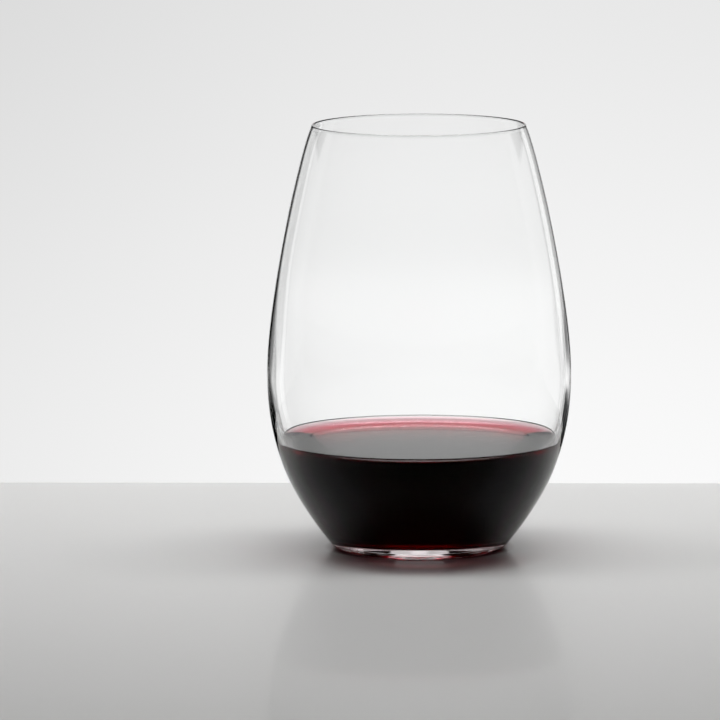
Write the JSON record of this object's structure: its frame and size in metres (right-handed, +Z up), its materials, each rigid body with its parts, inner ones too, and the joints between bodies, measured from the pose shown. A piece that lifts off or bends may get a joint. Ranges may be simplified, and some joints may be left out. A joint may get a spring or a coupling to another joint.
{
  "type": "stemless wine glass",
  "caption": "Stemless wine glass: a thin blown bowl that swells low down and closes towards its rim, heavy at the foot, standing on a flat ring and holding a pour of red wine.",
  "frame": {"origin": "centre of the standing ring, on the surface that the glass stands on", "axes": "+Z up the glass's axis of revolution, +X to the right and +Y away from the viewer in the picture"},
  "size_m": [0.0944, 0.0944, 0.132],
  "materials": {
    "clear_glass": "fire-polished clear crystal",
    "red_wine": "still dark red wine, clear and near black in depth"
  },
  "bodies": {
    "root": {"glass_bowl": "clear_glass", "red_wine": "red_wine"}
  },
  "joints": []
}
